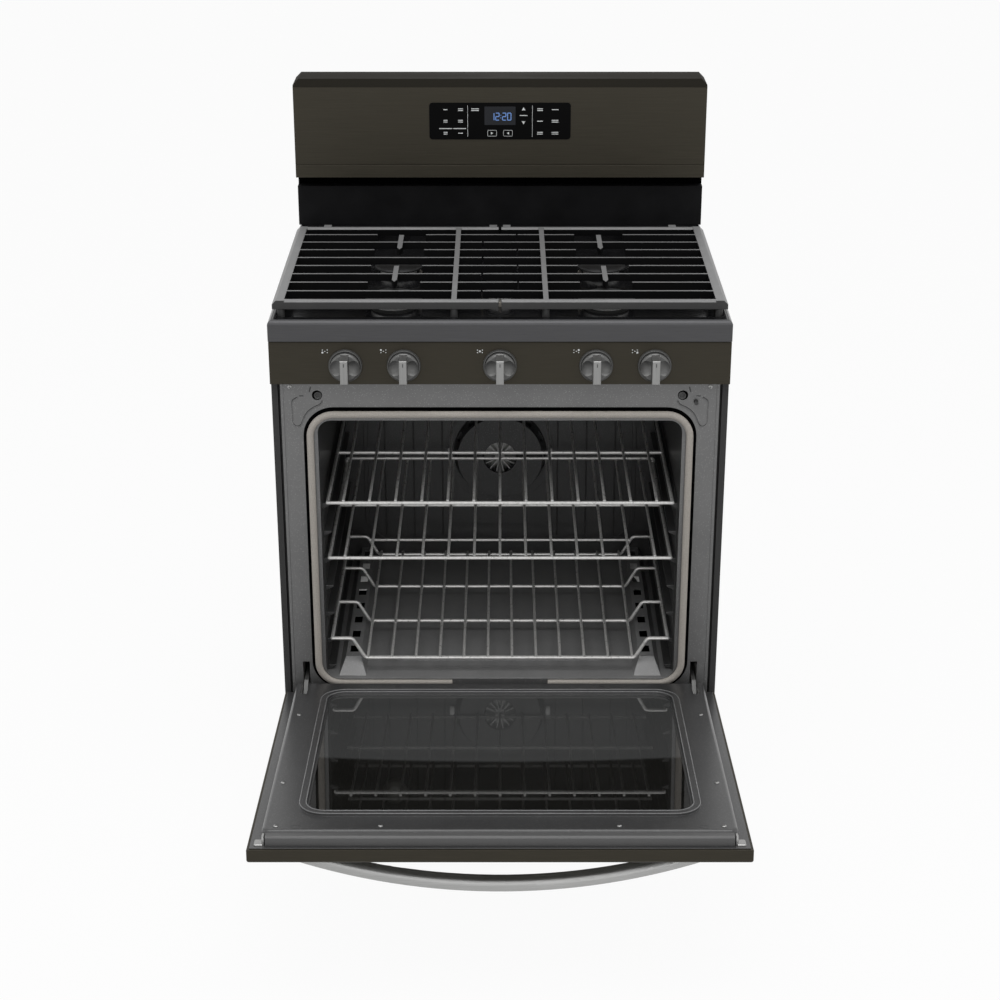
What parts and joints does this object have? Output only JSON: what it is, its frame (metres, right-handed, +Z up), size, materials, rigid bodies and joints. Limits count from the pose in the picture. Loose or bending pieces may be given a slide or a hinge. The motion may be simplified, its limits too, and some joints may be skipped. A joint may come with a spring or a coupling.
{
  "type": "freestanding gas range",
  "caption": "Freestanding gas range with hinged cooktop grates, push-and-turn knobs, a drop-down oven door, sliding oven racks and a storage drawer.",
  "frame": {"origin": "on the floor, at the middle of the box round the range with its door open", "axes": "+X to the cook's right, +Y from the door towards the wall, +Z up"},
  "size_m": [0.759, 1.2238, 1.193],
  "materials": {
    "black_stainless": "brushed dark stainless with a brown tint",
    "black_enamel": "gloss black enamel",
    "grey_enamel": "speckled dark grey porcelain enamel",
    "cabinet_paint": "satin dark paint",
    "zinc_steel": "plain zinc-coated steel",
    "chrome_wire": "bright chrome",
    "satin_steel": "satin dark steel",
    "cast_iron": "matt black cast iron",
    "burner_aluminium": "cast aluminium",
    "gasket_braid": "woven glass-fibre braid",
    "dark_glass": "dark tempered glass",
    "touch_glass": "gloss black glass",
    "valve_brass": "machined brass",
    "ceramic": "white ceramic",
    "lamp_glass": "clear lamp glass",
    "foot_plastic": "black moulded plastic"
  },
  "bodies": {
    "root": {"backguard_console": "black_stainless", "backsplash": "black_enamel", "bake_burner": "satin_steel", "base_frame": "zinc_steel", "broil_burner": "satin_steel", "burner_bases": "burner_aluminium", "burner_caps": "black_enamel", "burner_heads": "burner_aluminium", "burner_tray": "zinc_steel", "control_glass": "touch_glass", "control_panel": "black_stainless", "cooktop": "black_enamel", "door_switch": "foot_plastic", "drawer_rails": "zinc_steel", "fan_cover": "grey_enamel", "fan_motor": "zinc_steel", "gas_manifold": "satin_steel", "gas_valves": "valve_brass", "grate_hinge_brackets": "cast_iron", "hinge_arms": "chrome_wire", "hinge_receivers": "zinc_steel", "igniters": "ceramic", "knob_bezels": "satin_steel", "levelling_feet": "foot_plastic", "oven_back_wall": "grey_enamel", "oven_floor": "grey_enamel", "oven_front_frame": "grey_enamel", "oven_gasket": "gasket_braid", "oven_lamp": "lamp_glass", "oven_liner": "grey_enamel", "pressure_regulator": "burner_aluminium", "rack_guides": "grey_enamel", "rear_cover": "zinc_steel", "side_panel_left": "cabinet_paint", "side_panel_right": "cabinet_paint"},
    "door": {"door_handle": "satin_steel", "door_hinge_channels": "zinc_steel", "door_inner_glass": "dark_glass", "door_inner_panel": "grey_enamel", "door_outer_glass": "dark_glass", "door_outer_panel": "black_stainless", "door_top_trim": "cabinet_paint"},
    "drawer": {"drawer_front": "black_stainless", "drawer_box": "cabinet_paint"},
    "upper_rack": {"upper_rack": "chrome_wire"},
    "middle_rack": {"middle_rack": "chrome_wire"},
    "lower_rack": {"lower_rack": "chrome_wire"},
    "grate_left": {"grate_left": "cast_iron"},
    "grate_right": {"grate_right": "cast_iron"},
    "convection_fan": {"convection_fan": "satin_steel"},
    "valve_rotor_1": {"valve_rotor_1": "valve_brass"},
    "knob_1": {"knob_1": "satin_steel"},
    "valve_rotor_2": {"valve_rotor_2": "valve_brass"},
    "knob_2": {"knob_2": "satin_steel"},
    "valve_rotor_3": {"valve_rotor_3": "valve_brass"},
    "knob_3": {"knob_3": "satin_steel"},
    "valve_rotor_4": {"valve_rotor_4": "valve_brass"},
    "knob_4": {"knob_4": "satin_steel"},
    "valve_rotor_5": {"valve_rotor_5": "valve_brass"},
    "knob_5": {"knob_5": "satin_steel"}
  },
  "joints": [
    {"name": "door_hinge", "type": "hinge", "parent": "root", "child": "door", "pos_m": [0, -0.04114, 0.225], "axis": [-1, 0, 0], "range_deg": [0, 85]},
    {"name": "drawer_slide", "type": "slide", "parent": "root", "child": "drawer", "axis": [0, 1, 0], "range_m": [-0.4, 0]},
    {"name": "upper_rack_slide", "type": "slide", "parent": "root", "child": "upper_rack", "axis": [0, 1, 0], "range_m": [-0.26, 0]},
    {"name": "middle_rack_slide", "type": "slide", "parent": "root", "child": "middle_rack", "axis": [0, 1, 0], "range_m": [-0.26, 0]},
    {"name": "lower_rack_slide", "type": "slide", "parent": "root", "child": "lower_rack", "axis": [0, 1, 0], "range_m": [-0.2, 0]},
    {"name": "grate_left_hinge", "type": "hinge", "parent": "root", "child": "grate_left", "pos_m": [0, 0.47286, 0.93], "axis": [-1, 0, 0], "range_deg": [0, 80]},
    {"name": "grate_right_hinge", "type": "hinge", "parent": "root", "child": "grate_right", "pos_m": [0, 0.47286, 0.93], "axis": [-1, 0, 0], "range_deg": [0, 80]},
    {"name": "fan_spin", "type": "hinge", "parent": "root", "child": "convection_fan", "pos_m": [0, 0.50286, 0.476], "axis": [0, 1, 0], "continuous": true},
    {"name": "valve_1_turn", "type": "hinge", "parent": "root", "child": "valve_rotor_1", "pos_m": [-0.254, -0.00514, 0.836], "axis": [0, -1, 0], "range_deg": [0, 240]},
    {"name": "knob_1_push", "type": "slide", "parent": "valve_rotor_1", "child": "knob_1", "axis": [0, 1, 0], "range_m": [0, 0.003], "stiffness_N_per_m": 1500},
    {"name": "valve_2_turn", "type": "hinge", "parent": "root", "child": "valve_rotor_2", "pos_m": [-0.158, -0.00514, 0.836], "axis": [0, -1, 0], "range_deg": [0, 240]},
    {"name": "knob_2_push", "type": "slide", "parent": "valve_rotor_2", "child": "knob_2", "axis": [0, 1, 0], "range_m": [0, 0.003], "stiffness_N_per_m": 1500},
    {"name": "valve_3_turn", "type": "hinge", "parent": "root", "child": "valve_rotor_3", "pos_m": [0, -0.00514, 0.836], "axis": [0, -1, 0], "range_deg": [0, 240]},
    {"name": "knob_3_push", "type": "slide", "parent": "valve_rotor_3", "child": "knob_3", "axis": [0, 1, 0], "range_m": [0, 0.003], "stiffness_N_per_m": 1500},
    {"name": "valve_4_turn", "type": "hinge", "parent": "root", "child": "valve_rotor_4", "pos_m": [0.158, -0.00514, 0.836], "axis": [0, -1, 0], "range_deg": [0, 240]},
    {"name": "knob_4_push", "type": "slide", "parent": "valve_rotor_4", "child": "knob_4", "axis": [0, 1, 0], "range_m": [0, 0.003], "stiffness_N_per_m": 1500},
    {"name": "valve_5_turn", "type": "hinge", "parent": "root", "child": "valve_rotor_5", "pos_m": [0.254, -0.00514, 0.836], "axis": [0, -1, 0], "range_deg": [0, 240]},
    {"name": "knob_5_push", "type": "slide", "parent": "valve_rotor_5", "child": "knob_5", "axis": [0, 1, 0], "range_m": [0, 0.003], "stiffness_N_per_m": 1500}
  ]
}
